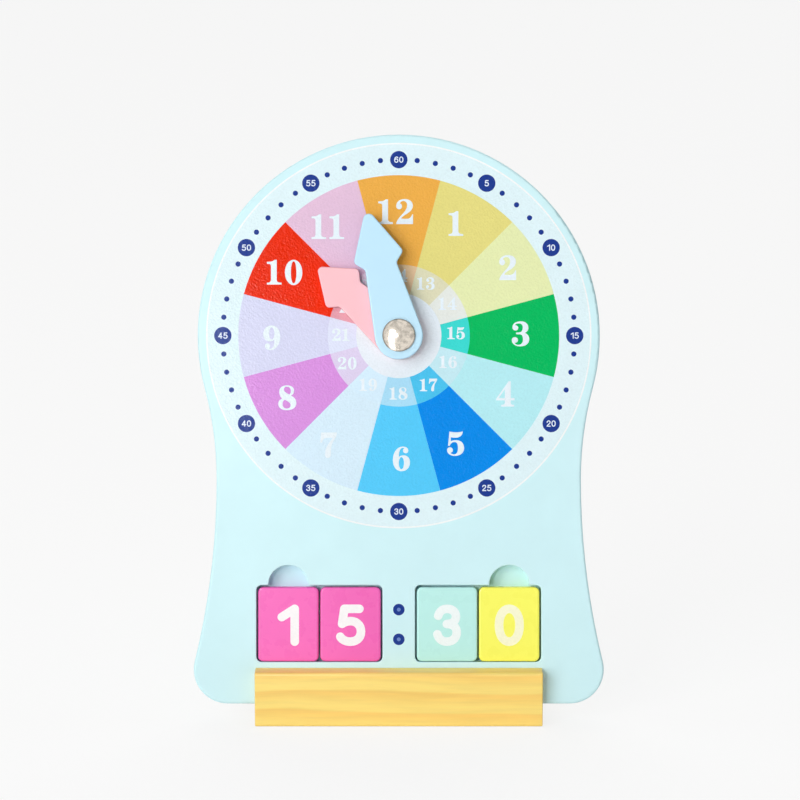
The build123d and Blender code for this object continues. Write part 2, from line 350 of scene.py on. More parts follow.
TILES = ("hours_tens_tile", "hours_units_tile", "minutes_tens_tile", "minutes_units_tile")
INK_LAYER = 0.02  # mm: one pass of the printer, drawn ten times as thick as it is
INK_ROOT = 0.02  # mm: how far a print reaches into the paint below it
INK_COLOUR = "ink_colour"
INSIDE_ONLY = 1  # tells the triangulation to leave out what no outline encloses


def triangles(filled, cut):
    """The corners and triangles that cover every filled outline and none that is cut out."""
    corners, loops = [], []
    for outline in filled + cut:
        loop = list(range(len(corners), len(corners) + len(outline)))
        turned_left = sum(a.cross(b) for a, b in zip(outline, outline[1:] + outline[:1])) > 0
        loops.append(loop if turned_left else loop[::-1])
        corners += outline
    corners, _, faces, _, _, sources = delaunay_2d_cdt(corners, [], loops, INSIDE_ONLY, SAME_POINT)
    kept = [face for face, inside in zip(faces, sources) if inside and max(inside) < len(filled)]
    if not kept:
        raise RuntimeError("an outline of the print encloses nothing")
    return corners, kept


def add_plate(mesh, filled, cut, top, colour):
    """Adds a thin closed plate to a bmesh, from just inside the face up to that height."""
    layers = mesh.loops.layers.float_color
    ink = layers.get(INK_COLOUR) or layers.new(INK_COLOUR)
    corners, faces = triangles(filled, cut)
    used = sorted({i for face in faces for i in face})
    upper = {i: mesh.verts.new((corners[i].x, corners[i].y, top)) for i in used}
    lower = {i: mesh.verts.new((corners[i].x, corners[i].y, -INK_ROOT)) for i in used}
    shared = {}
    for face in faces:
        for a, b in zip(face, face[1:] + face[:1]):
            shared.setdefault(frozenset((a, b)), []).append((a, b))
    made = [mesh.faces.new([upper[i] for i in face]) for face in faces]
    made += [mesh.faces.new([lower[i] for i in reversed(face)]) for face in faces]
    for sides in shared.values():
        if len(sides) == 1:
            a, b = sides[0]
            made.append(mesh.faces.new((upper[b], upper[a], lower[a], lower[b])))
    for face in made:
        for loop in face.loops:
            loop[ink] = colour


def new_object(name, data):
    """An object of that name with that data, in the scene."""
    made = bpy.data.objects.new(name, data)
    bpy.context.scene.collection.objects.link(made)
    return made


def print_on(name, areas, layer, colour=None, body="clock_board"):
    """Prints a piece of flat areas, so many layers high. An area may bring its own colour."""
    if name in bpy.data.objects:
        raise RuntimeError(f"{name} is already printed")
    mesh = bmesh.new()
    for filled, cut, *own in areas:
        add_plate(mesh, filled, cut, layer * INK_LAYER, as_rgba(own[0] if own else colour))
    mesh.transform(DIAL_MM)
    data = bpy.data.meshes.new(name)
    mesh.to_mesh(data)
    mesh.free()
    data.materials.append(dial_ink())
    piece = new_object(name, data)
    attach(piece, body)


def finish_parts(material, *names):
    """Gives some of the frame's own parts their finish."""
    for name in names:
        if name not in frame["nodes"]:
            raise RuntimeError(f"the clock has no part named {name}")
        finishes = frame["nodes"][name].data.materials
        finishes.clear()
        finishes.append(material)


def on_dial(name):
    """Where the middle of one of the frame's own parts lies on the dial's axes, in millimetres."""
    low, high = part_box(name)
    return DIAL_MM.inverted() @ ((low + high) / 2)


# --- Colours and nodes ---

NOISE_SPAN = {"From Min": 0.3, "From Max": 0.7}  # where nearly all of a noise's values lie


def linear(hex_colour):
    """The linear colour of an sRGB hex value."""
    values = [int(hex_colour[i : i + 2], 16) / 255 for i in (1, 3, 5)]
    return [v / 12.92 if v <= 0.04045 else ((v + 0.055) / 1.055) ** 2.4 for v in values]


def as_rgba(colour):
    """A linear colour with full alpha."""
    return [*colour, 1.0]


def per_metre(millimetres):
    """A pattern's scale, for detail of that size."""
    return 1000.0 / millimetres


def add(tree, kind, inputs=None, stops=None, **settings):
    """Adds a shader node, sets it up and links it. Stops are a colour ramp's, its ends first."""
    node = tree.nodes.new("ShaderNode" + kind)
    for key, value in settings.items():
        setattr(node, key, value)
    for i, (position, colour) in enumerate(stops or []):
        elements = node.color_ramp.elements
        stop = elements[i] if i < 2 else elements.new(position)
        stop.position, stop.color = position, as_rgba(linear(colour))
    for key, value in (inputs or {}).items():
        enabled = [socket for socket in node.inputs if socket.enabled]
        socket = enabled[key] if isinstance(key, int) else next(s for s in enabled if s.name == key)
        if isinstance(value, bpy.types.Node):
            value = next(output for output in value.outputs if output.enabled)
        if isinstance(value, bpy.types.NodeSocket):
            tree.links.new(value, socket)
        else:
            socket.default_value = value
    return node


def new_material(name):
    """An empty material, its node tree and the place on the object, in metres."""
    if name in bpy.data.materials:
        bpy.data.materials.remove(bpy.data.materials[name])
    material = bpy.data.materials.new(name)
    material.use_nodes = True
    material.node_tree.nodes.clear()
    return material, material.node_tree, add(material.node_tree, "TexCoord").outputs["Object"]


def finished(material, shader):
    """The material, with that shader as its surface."""
    add(material.node_tree, "OutputMaterial", {"Surface": shader})
    return material


def toned(tree, colour, pattern, darkest, palest, span=NOISE_SPAN):
    """A colour that a pattern darkens and lightens, between those two shares of it."""
    limits = {"To Min": darkest, "To Max": palest}
    share = add(tree, "MapRange", {"Value": pattern, **span, **limits})
    return add(tree, "VectorMath", {0: colour, "Scale": share}, operation="SCALE")


def squareness(tree, way):
    """How squarely a surface faces that way or its opposite: 1 is straight on and 0 is side on."""
    normal = add(tree, "NewGeometry").outputs["Normal"]
    facing = add(tree, "VectorMath", {0: normal, 1: way}, operation="DOT_PRODUCT")
    return add(tree, "Math", {0: facing.outputs["Value"]}, operation="ABSOLUTE")


def shaded(tree, colour, shade, level, span):
    """A colour that takes on a shade as that level passes through a span."""
    share = add(tree, "MapRange", {"Value": level, **span})
    deeper = add(tree, "VectorMath", {0: colour, 1: shade}, operation="MULTIPLY")
    return add(tree, "Mix", {"Factor": share, "A": colour, "B": deeper}, data_type="RGBA")


def seen_directly(tree):
    """1 for what the camera sees by itself, in a mirror or through glass, and otherwise 0."""
    path = add(tree, "LightPath").outputs
    mirrored = {0: path["Is Camera Ray"], 1: path["Is Glossy Ray"]}
    through = {0: add(tree, "Math", mirrored, operation="MAXIMUM"), 1: path["Is Transmission Ray"]}
    return add(tree, "Math", through, operation="MAXIMUM")


# --- Finishes ---

COAT_IOR = 1.5  # of lacquer, and of cured ink


def painted(name, colour, edge_shade, peel, roughness, cloud, grain=None, pebble_shade=0.0, gloss=0.25):
    """A coat of paint or ink: clouded colour, a darker edge, orange peel and a finer grain.

    Peel and grain are each a size and a depth in millimetres. Cloud is the share by which the
    colour strays slowly. A second share paints the peel's hollows darker and its crests paler, as
    painted shade of its relief. With no colour, each print keeps its own.
    """
    material, tree, place = new_material(name)
    if colour is None:
        colour = add(tree, "Attribute", attribute_name=INK_COLOUR).outputs["Color"]

    # Slow clouding, where the coat is a little thicker or thinner.
    cloud_size = 14
    clouds = add(tree, "TexNoise", {"Vector": place, "Scale": per_metre(cloud_size), "Detail": 3.0})
    tinted = toned(tree, colour, clouds, 1 - cloud, 1 + cloud)

    # Orange peel, or an ink's pebbles. For the ink, painted shade darkens the hollows, and the
    # crests are painted paler.
    size, depth = peel
    hills = add(tree, "TexNoise", {"Vector": place, "Scale": per_metre(size), "Detail": 1.5})
    if pebble_shade:
        tinted = toned(tree, tinted, hills, 1 - pebble_shade, 1 + pebble_shade)

    # Sides and rounded edges face away from the board's front and are painted a shade deeper. This
    # is painted shade, and on the fibreboard also the paint that its edges drink.
    side_on = {"From Min": 0.98, "From Max": 0.5}
    tinted = shaded(tree, tinted, edge_shade, squareness(tree, OUT), side_on)

    # The peel's relief, and the finer grain of what lies under the coat.
    relief = add(tree, "Bump", {"Height": hills, "Distance": depth * MM})
    if grain:
        size, depth = grain
        pores = add(tree, "TexNoise", {"Vector": place, "Scale": per_metre(size), "Roughness": 0.6})
        relief = add(tree, "Bump", {"Height": pores, "Distance": depth * MM, "Normal": relief})

    # Handling rubs it a little shinier here and duller there.
    rub_size, shinier, duller = 5, 0.04, 0.05
    rub = add(tree, "TexNoise", {"Vector": place, "Scale": per_metre(rub_size), "Detail": 4.0})
    limits = {"To Min": roughness - shinier, "To Max": roughness + duller}
    sheen = add(tree, "MapRange", {"Value": rub, **NOISE_SPAN, **limits})
    surface = {"Base Color": tinted, "Roughness": sheen, "Normal": relief}
    coat = add(tree, "BsdfPrincipled", {**surface, "IOR": COAT_IOR, "Specular IOR Level": gloss})
    return finished(material, coat)


def dial_ink():
    """The dial's print.

    Ink cured by ultraviolet light, printed on the lacquered board. It is satin and pebbled, so it
    glints in fine points where it faces a lamp. The pebbles are drawn deeper than they are, so that
    their glints show.
    """
    name = "uv_cured_ink_on_lacquer"
    return bpy.data.materials.get(name) or painted(
        name,
        colour=None,
        edge_shade=(1, 1, 1),
        peel=(0.8, 0.15),
        roughness=0.17,
        cloud=0.01,
        grain=(0.45, 0.07),
        # painted shade in the pebbles' hollows, and paler crests
        pebble_shade=0.022,
        gloss=0.06,
    )


def board_lacquer(colour):
    """Pale lacquer on fibreboard.

    Sanded and sprayed: an even satin coat with a fine orange peel, and sides that drink the paint.
    The sides are painted a shade deeper, partly for that and partly as painted shade.
    """
    return painted(
        "sprayed_lacquer_on_fibreboard",
        colour,
        edge_shade=(0.93, 0.975, 0.98),
        peel=(1.3, 0.012),
        roughness=0.38,
        cloud=0.014,
        grain=(0.4, 0.003),
        gloss=0.1,
    )


def tile_lacquer(tint, colour):
    """Bright lacquer on a small wooden block.

    Tumbled and dipped: a glossier, smoother coat than the board's, pulled a little thin over the
    rounded edges. Its sides and edges are painted a shade deeper, as painted shade.
    """
    return painted(
        f"{tint}_gloss_lacquer_on_wood",
        colour,
        edge_shade=(1.0, 0.97, 0.99),
        peel=(1.6, 0.01),
        roughness=0.28,
        cloud=0.008,
        grain=(0.5, 0.002),
    )


def hand_lacquer(tint, colour, edge_shade):
    """Satin lacquer on a hand of thin plywood.

    Sprayed and rubbed smooth: a flat, silky coat with hardly any peel. Its edges are painted a
    shade deeper, as painted shade.
    """
    name = f"{tint}_satin_lacquer_on_wood"
    return painted(name, colour, edge_shade, peel=(2.2, 0.008), roughness=0.42, cloud=0.01)


def planed_pine(early, late, end_shade):
    """Planed pine with a thin clear satin lacquer.

    The growth rings are cut nearly flat along the bar, so its long faces show wavy streaks and its
    ends show arcs. The lacquer leaves the fibres' fine furrows and gives a soft, broken shine.
    """
    material, tree, place = new_material("planed_pine_clear_lacquered")

    # The log wandered as it grew: a slow drift of up to about 2 mm, stretched along the bar.
    drift_scale = (per_metre(110), per_metre(34), per_metre(34))
    stretched = add(tree, "Mapping", {"Vector": place, "Scale": drift_scale})
    drift = add(tree, "TexNoise", {"Vector": stretched, "Scale": 1.0}).outputs["Color"]
    centred = add(tree, "VectorMath", {0: drift, 1: (0.5, 0.5, 0.5)}, operation="SUBTRACT")
    wander = add(tree, "VectorMath", {0: centred, "Scale": 9 * MM}, operation="SCALE")
    wandered = add(tree, "VectorMath", {0: place, 1: wander}, operation="ADD")

    # Pale early wood turns to darker late wood in each ring, round a pith beside the bar.
    ring_spacing = 5.4
    wave_spacing = 2 * pi / 20  # between two waves of the texture at a scale of 1
    pith_offset = (0.0, -30 * MM, 40 * MM)
    from_pith = add(tree, "Mapping", {"Vector": wandered, "Location": pith_offset})
    saw_rings = {"wave_type": "RINGS", "rings_direction": "X", "wave_profile": "SAW"}
    waves = {"Vector": from_pith, "Scale": wave_spacing * per_metre(ring_spacing)}
    rings = add(tree, "TexWave", waves, **saw_rings).outputs["Fac"]
    year = [(0.0, early), (1.0, early), (0.3, early), (0.8, late), (0.9, late)]
    wood = add(tree, "ValToRGB", {0: rings}, stops=year)

    # Bundles of fibres, 1.7 to 0.1 mm across, drawn coarser than they are so that they show.
    fibre_scale = (per_metre(34), per_metre(1.7), per_metre(1.7))
    threads = add(tree, "Mapping", {"Vector": wandered, "Scale": fibre_scale})
    fine = {"Vector": threads, "Scale": 1.0, "Detail": 4.0, "Roughness": 0.62}
    fibre = add(tree, "TexNoise", fine)
    streaked = toned(tree, wood, fibre, 0.93, 1.04)

    # End grain drinks more of the lacquer and darkens. The ends are also painted darker as
    # painted shade.
    end_on = {"From Min": 0.6, "From Max": 0.95}
    coloured = shaded(tree, streaked, end_shade, squareness(tree, (1, 0, 0)), end_on)

    furrows = add(tree, "Bump", {"Height": fibre, "Distance": 0.04 * MM})
    ridges = add(tree, "Bump", {"Height": rings, "Distance": 0.03 * MM, "Normal": furrows})
    sheen = add(tree, "MapRange", {"Value": fibre, **NOISE_SPAN, "To Min": 0.42, "To Max": 0.56})
    surface = {"Base Color": coloured, "Roughness": sheen, "Normal": ridges, "IOR": COAT_IOR}
    return finished(material, add(tree, "BsdfPrincipled", surface))


def nickel_plated_steel(colour):
    """Stamped steel with bright nickel plating.

    The plating mirrors the room sharply, and the shallow dents of the stamping and of handling
    break the reflection into bright and dull patches.
    """
    material, tree, place = new_material("nickel_plated_steel_stamped")
    dent_size, scuff_size, tarnish_size = 2.6, 0.6, 2.0
    dents = add(tree, "TexNoise", {"Vector": place, "Scale": per_metre(dent_size), "Detail": 1.0})
    broad = add(tree, "Bump", {"Height": dents, "Distance": 0.18 * MM})
    small = {"Vector": place, "Scale": per_metre(scuff_size), "Detail": 3.0, "Roughness": 0.65}
    scuffs = add(tree, "TexNoise", small)
    relief = add(tree, "Bump", {"Height": scuffs, "Distance": 0.03 * MM, "Normal": broad})

    # Tarnish dulls and darkens it in patches, and a painted shadow darkens the thin ring where the
    # head turns to its rim and meets the hand.
    patches = {"Vector": place, "Scale": per_metre(tarnish_size), "Detail": 5.0, "Roughness": 0.6}
    tarnish = add(tree, "TexNoise", patches)
    tarnished = toned(tree, colour, tarnish, 0.7, 1.15, {"From Min": 0.36, "From Max": 0.58})
    rim_shadow_span = {"From Min": 0.7, "From Max": 0.745}
    rim_shadowed = toned(tree, tarnished, squareness(tree, OUT), 0.25, 1.0, rim_shadow_span)
    dull_to_bright = {"From Min": 0.35, "From Max": 0.7, "To Min": 0.22, "To Max": 0.1}
    haze = add(tree, "MapRange", {"Value": tarnish, **dull_to_bright})
    surface = {"Base Color": rim_shadowed, "Metallic": 1.0, "Roughness": haze, "Normal": relief}
    return finished(material, add(tree, "BsdfPrincipled", surface))


def punched_nylon(colour):
    """Natural nylon, punched from sheet: milky, waxy and slightly see-through at the rim."""
    material, tree, place = new_material("nylon_washer_punched")
    flow = add(tree, "TexNoise", {"Vector": place, "Scale": per_metre(2.0), "Detail": 3.0})
    surface = {
        "Base Color": toned(tree, colour, flow, 0.95, 1.03),
        "Roughness": 0.42,
        "IOR": 1.53,
        "Normal": add(tree, "Bump", {"Height": flow, "Distance": 0.02 * MM}),
        "Subsurface Weight": 0.3,
        "Subsurface Scale": 0.6 * MM,
    }
    return finished(material, add(tree, "BsdfPrincipled", surface))


def matt_paper(colour, glow):
    """The matt paper that the clock stands on, with a faint tooth drawn coarser than it is.

    To the camera, and in shiny things, it also glows a little, so that it stays pale while it keeps
    the clock's shadow.
    """
    material, tree, place = new_material("matt_paper_sheet")
    tooth = add(tree, "TexNoise", {"Vector": place, "Scale": per_metre(1.2), "Detail": 4.0})
    relief = add(tree, "Bump", {"Height": tooth, "Strength": 0.4, "Distance": 0.03 * MM})
    pulp = toned(tree, colour, tooth, 0.99, 1.005)
    paper = add(tree, "BsdfDiffuse", {"Color": pulp, "Normal": relief})
    light = add(tree, "Emission")
    share = add(tree, "Math", {0: seen_directly(tree), 1: glow}, operation="MULTIPLY")
    return finished(material, add(tree, "MixShader", {0: share, 1: paper, 2: light}))


# --- Settings ---


def colour(name, description, default):
    """A colour setting, from an sRGB hex value."""
    return bpy.props.FloatVectorProperty(
        name=name, description=description, default=linear(default), min=0, max=1, subtype="COLOR"
    )


def number(name, description, default, **kind):
    """A setting for a number that isn't negative."""
    words = {"name": name, "description": description}
    return bpy.props.FloatProperty(default=default, min=0, **words, **kind)


def length(name, description, default):
    """A length setting. The default is in millimetres and the setting in metres."""
    return number(name, description, default / 1000, subtype="DISTANCE", unit="LENGTH")


class ClockPrintSizes(bpy.types.PropertyGroup):
    """Sizes of the print"""

    hole_radius: length("Hole", "Bare spot under the washer at the pivot", 7.2)
    hub_radius: length("Hub disc", "Radius of the pale disc at the dial's middle", 16.2)
    band_radius: length("Afternoon band", "Outer radius of the band with the hours 13 to 24", 27.0)
    sector_radius: length("Hour sectors", "Outer radius of the twelve coloured sectors", 61.0)
    ring_radius: length("Minute ring", "Radius on which the minute marks lie", 66.9)
    ground_radius: length("Ground", "Outer radius of the pale disc under the whole print", 73.0)
    rim_width: length("Rim", "Width of the white line round the dial", 0.6)
    minute_disc: length("Five-minute discs", "Radius of the discs with the minutes' numbers", 3.3)
    minute_dot: length("Minute dots", "Radius of the dots between the discs", 1.0)
    hour_height: length("Hour numbers", "Height of the numbers 1 to 12", 9.4)
    afternoon_height: length("Afternoon numbers", "Height of the numbers 13 to 24", 4.7)
    minute_height: length("Minute numbers", "Height of the numbers 5 to 60", 2.5)
    colon_radius: length("Colon dots", "Radius of the two dots between the tiles", 2.2)
    colon_spacing: length("Colon spacing", "Distance between the two dots", 11.3)
    digit_height: length("Tile digits", "Height of the digits on the tiles", 15.6)
    digit_drop: length("Digit drop", "How far the digits sit below the tiles' middle", 0.3)


class ClockPrintInks(bpy.types.PropertyGroup):
    """Colours of the print"""

    ground: colour("Ground", "Pale disc under the whole print", "#e2f6fb")
    rim: colour("Rim", "Line round the dial", "#f6fcfd")
    hub: colour("Hub disc", "Disc at the dial's middle", "#e9f2f9")
    number: colour("Numbers", "Hour and afternoon numbers", "#eaf5fc")
    marks: colour("Minute marks", "Minute discs and dots", "#213c90")
    colon_middle: colour("Colon middles", "Paler middle of the colon's dots", "#6f8bcb")
    marks_number: colour("Minute numbers", "Numbers in the minute discs", "#e3eefb")
    pink_digit: colour("Digits on pink", "Ink of the hour tiles' digits", "#fffbfd")
    mint_digit: colour("Digit on mint", "Ink of the mint tile's digit", "#f6ffff")
    yellow_digit: colour("Digit on yellow", "Ink of the yellow tile's digit", "#fffeda")


# The inks of the hour sectors, and of the band with the afternoon hours.
SECTOR_INKS = {
    1: "#e7dd84", 2: "#e8efb5", 3: "#02bc60", 4: "#b7eef5", 5: "#028ced", 6: "#57cdfd",
    7: "#d8effd", 8: "#da92e1", 9: "#d8daf5", 10: "#ec2b00", 11: "#e6c3dd", 12: "#f0b04c",
}
BAND_INKS = {
    13: "#e2dfbe", 14: "#e9ede8", 15: "#3ddbd4", 16: "#c6ecf5", 17: "#4cc5f1", 18: "#abe0f9",
    19: "#d8f0ff", 20: "#dfd3f0", 21: "#e1e6fb", 22: "#e5a4b2", 23: "#ecd6ea", 24: "#e9c8a0",
}
for hour, ink in {**SECTOR_INKS, **BAND_INKS}.items():
    where = "Sector" if hour in SECTOR_INKS else "Band"
    setting = colour(f"Hour {hour}", f"{where} of hour {hour}", ink)
    ClockPrintInks.__annotations__[f"hour_{hour}"] = setting


class ClockPaints(bpy.types.PropertyGroup):
    """Colours of the parts' coats"""

    board: colour("Board", "Lacquer of the board", "#d3f5fa")
    minute_hand: colour("Minute hand", "Lacquer of the minute hand", "#c0e7fb")
    hour_hand: colour("Hour hand", "Lacquer of the hour hand", "#f9bfc6")
    pink_tile: colour("Pink tiles", "Lacquer of the two hour tiles", "#f567bb")
    mint_tile: colour("Mint tile", "Lacquer of the first minute tile", "#c0f3ed")
    yellow_tile: colour("Yellow tile", "Lacquer of the second minute tile", "#fffd66")
    nickel: colour("Nickel", "Plating of the rivet", "#dcd3c6")
    nylon: colour("Nylon", "Washers", "#ebeae4")


class ClockStage(bpy.types.PropertyGroup):
    """The floor, the lamps and the camera"""

    paper: colour("Paper", "Sheet that the clock stands on", "#f7f7f6")
    glow: number("Paper glow", "Share that is its own light", 0.8, max=1, subtype="FACTOR")
    room: number("Room light", "Even light from all sides", 0.23)
    window_power: number("Window power", "Light from the tall soft window", 63.0, unit="POWER")
    lamp_power: number("Lamp power", "Light from the small lamp", 12.3, unit="POWER")
    sky: number("Sky", "Soft light from above", 0.5)
    back_light: number("Back light", "Soft light on the board's back", 1.25)
    strip_power: number("Strip power", "Strip that shines in glossy things", 0.066, unit="POWER")
    glint_power: number("Glint power", "Lamp that makes the glints", 1.0, unit="POWER")
    camera_distance: length("Camera distance", "From the lens to the dial", 1200.0)
    view_width: length("View width", "Width of the picture at the dial", 304.2)
    aim_right: length("Aim right", "How far the camera aims right of the dial's centre", 0.46)
    aim_below: length("Aim below", "How far the camera aims below the dial's centre", 24.5)


# --- Operators ---

TOP, HOUR_STEP, MINUTE_STEP = 90, 30, 6  # in degrees: 12 o'clock, and from mark to mark
HALF_HOUR = HOUR_STEP / 2 - 0.005  # a hair less, so that no two sectors' walls meet
OVERLAP = 0.2  # mm: how far each ring reaches under the next one, so that no gap shows
COLON_MIDDLE = 0.32  # the paler middle's share of a colon dot's radius


def print_settings(scene):
    """The print's sizes, in the unit that outlines are drawn in, and its inks."""
    names = ClockPrintSizes.__annotations__
    sizes = {name: getattr(scene.clock_sizes, name) * 1000 for name in names}
    return SimpleNamespace(**sizes), scene.clock_inks


class CLOCK_OT_paint_board(bpy.types.Operator):
    """Sprays the board's two layers with pale lacquer"""

    bl_idname = "clock.paint_board"
    bl_label = "Paint the Board"

    def execute(self, context):
        lacquer = board_lacquer(context.scene.clock_paints.board)
        finish_parts(lacquer, "front_panel", "back_panel")
        return {"FINISHED"}


class CLOCK_OT_print_ground(bpy.types.Operator):
    """Prints the pale disc under the dial and the white line round it"""

    bl_idname = "clock.print_ground"
    bl_label = "Print the Ground"

    def execute(self, context):
        sizes, inks = print_settings(context.scene)
        ground, hole = disc(sizes.ground_radius), disc(sizes.hole_radius)
        print_on("dial_ground", [([ground], [hole])], 1, inks.ground)
        outer = disc(sizes.ground_radius + sizes.rim_width / 2, step=1.5)
        inner = disc(sizes.ground_radius - sizes.rim_width / 2, step=1.5)
        print_on("dial_rim", [([outer], [inner])], 2, inks.rim)
        return {"FINISHED"}


class CLOCK_OT_print_sectors(bpy.types.Operator):
    """Prints the twelve hour sectors, the afternoon band and the hub's disc"""

    bl_idname = "clock.print_sectors"
    bl_label = "Print the Sectors"

    def execute(self, context):
        sizes, inks = print_settings(context.scene)
        hub, band = sizes.hub_radius, sizes.band_radius
        for name, hours, inner, outer, layer in (
            ("hour_sectors", SECTOR_INKS, band - OVERLAP, sizes.sector_radius, 2),
            ("afternoon_band", BAND_INKS, hub - OVERLAP, band, 3),
        ):
            areas = []
            for hour in hours:
                middle = TOP - HOUR_STEP * (hour % 12)
                outline = ring_part(inner, outer, middle - HALF_HOUR, middle + HALF_HOUR)
                areas.append(([outline], [], getattr(inks, f"hour_{hour}")))
            print_on(name, areas, layer)
        print_on("hub_disc", [([disc(hub)], [disc(sizes.hole_radius)])], 4, inks.hub)
        return {"FINISHED"}


# Where each number's middle lies on the dial, right and up from its centre, in millimetres. The
# hours' numbers are set one by one, so they keep no even circle.
HOUR_PLACES = {
    1: (21.7, 42.6), 2: (41.4, 25.8), 3: (46.3, 0.7), 4: (40.5, -22.3), 5: (21.6, -40.9),
    6: (1.0, -46.7), 7: (-26.7, -41.7), 8: (-42.4, -23.6), 9: (-48.3, -0.8), 10: (-43.4, 24.1),
    11: (-27.0, 41.4), 12: (-1.2, 47.1),
}
AFTERNOON_PLACES = {
    13: (10.3, 19.8), 14: (18.6, 12.1), 15: (21.8, 1.0), 16: (18.8, -10.0), 17: (11.3, -18.8),
    18: (-0.1, -22.0), 19: (-11.6, -18.7), 20: (-19.6, -10.5), 21: (-22.0, 0.3), 22: (-19.1, 11.0),
    23: (-11.0, 19.0), 24: (-0.4, 22.8),
}


class CLOCK_OT_print_numbers(bpy.types.Operator):
    """Prints the slab-serif numbers 1 to 12 and 13 to 24"""

    bl_idname = "clock.print_numbers"
    bl_label = "Print the Numbers"

    def execute(self, context):
        sizes, inks = print_settings(context.scene)
        for name, places, height in (
            ("hour_numbers", HOUR_PLACES, sizes.hour_height),
            ("afternoon_numbers", AFTERNOON_PLACES, sizes.afternoon_height),
        ):
            areas = []
            for hour, (x, y) in places.items():
                areas += serif_number(str(hour), height, x, y)
            print_on(name, areas, 5, inks.number)
        return {"FINISHED"}


class CLOCK_OT_print_minutes(bpy.types.Operator):
    """Prints the ring of minute dots and the discs with the numbers 5 to 60"""

    bl_idname = "clock.print_minutes"
    bl_label = "Print the Minutes"

    def execute(self, context):
        sizes, inks = print_settings(context.scene)
        marks, numbers = [], []
        for minute in range(1, 61):
            angle = radians(TOP - MINUTE_STEP * minute)
            x, y = sizes.ring_radius * cos(angle), sizes.ring_radius * sin(angle)
            if minute % 5:
                marks.append(([disc(sizes.minute_dot, (x, y), step=15)], []))
            else:
                marks.append(([disc(sizes.minute_disc, (x, y), step=6)], []))
                numbers += stroke_number(str(minute), sizes.minute_height, x, y, weight=0.75)
        print_on("minute_marks", marks, 2, inks.marks)
        print_on("minute_numbers", numbers, 3, inks.marks_number)
        return {"FINISHED"}


class CLOCK_OT_print_colon(bpy.types.Operator):
    """Prints the two dots between the hour tiles and the minute tiles"""

    bl_idname = "clock.print_colon"
    bl_label = "Print the Colon"

    def execute(self, context):
        sizes, inks = print_settings(context.scene)
        middle = sum((on_dial(tile) for tile in TILES), Vector()) / len(TILES)
        reach, radius = sizes.colon_spacing / 2, sizes.colon_radius
        for name, size, ink, layer in (
            ("colon_dots", radius, inks.marks, 1),
            ("colon_middles", radius * COLON_MIDDLE, inks.colon_middle, 2),
        ):
            dots = [([disc(size, (middle.x, middle.y + up), step=6)], []) for up in (-reach, reach)]
            print_on(name, dots, layer, ink)
        return {"FINISHED"}


class CLOCK_OT_paint_tiles(bpy.types.Operator):
    """Paints the four number tiles and prints their digits"""

    bl_idname = "clock.paint_tiles"
    bl_label = "Paint the Tiles"

    def execute(self, context):
        sizes, inks = print_settings(context.scene)
        paints = context.scene.clock_paints
        coats = {
            tint: tile_lacquer(tint, getattr(paints, f"{tint}_tile"))
            for tint in ("pink", "mint", "yellow")
        }
        for tile, digit, tint in zip(TILES, "1530", ("pink", "pink", "mint", "yellow")):
            finish_parts(coats[tint], tile)
            middle, ink = on_dial(tile), getattr(inks, f"{tint}_digit")
            low = middle.y - sizes.digit_drop
            areas = stroke_number(digit, sizes.digit_height, middle.x, low)
            print_on(tile.replace("tile", "digit"), areas, 2, ink, body=tile)
        return {"FINISHED"}


class CLOCK_OT_paint_hands(bpy.types.Operator):
    """Paints the two hands"""

    bl_idname = "clock.paint_hands"
    bl_label = "Paint the Hands"

    def execute(self, context):
        paints = context.scene.clock_paints
        # The edge shades are painted shade on the hands' sides.
        blue = hand_lacquer("blue", paints.minute_hand, edge_shade=(0.86, 0.94, 0.98))
        pink = hand_lacquer("pink", paints.hour_hand, edge_shade=(0.98, 0.88, 0.88))
        finish_parts(blue, "minute_hand")
        finish_parts(pink, "hour_hand")
        return {"FINISHED"}


class CLOCK_OT_plate_rivet(bpy.types.Operator):
    """Plates the rivet's two heads and finishes the washers"""

    bl_idname = "clock.plate_rivet"
    bl_label = "Plate the Rivet"

    def execute(self, context):
        paints = context.scene.clock_paints
        finish_parts(nickel_plated_steel(paints.nickel), "rivet_front", "rivet_back")
        finish_parts(punched_nylon(paints.nylon), "dial_washer", "hand_washer", "back_washer")
        return {"FINISHED"}


class CLOCK_OT_finish_stand(bpy.types.Operator):
    """Finishes the pine bar that the board stands in"""

    bl_idname = "clock.finish_stand"
    bl_label = "Finish the Stand"

    def execute(self, context):
        # The end shade is lacquer drunk by the end grain, and painted shade on the bar's ends.
        pine = planed_pine(early="#ffe07a", late="#fdd26c", end_shade=(0.74, 0.62, 0.52))
        finish_parts(pine, "stand_bar")
        return {"FINISHED"}


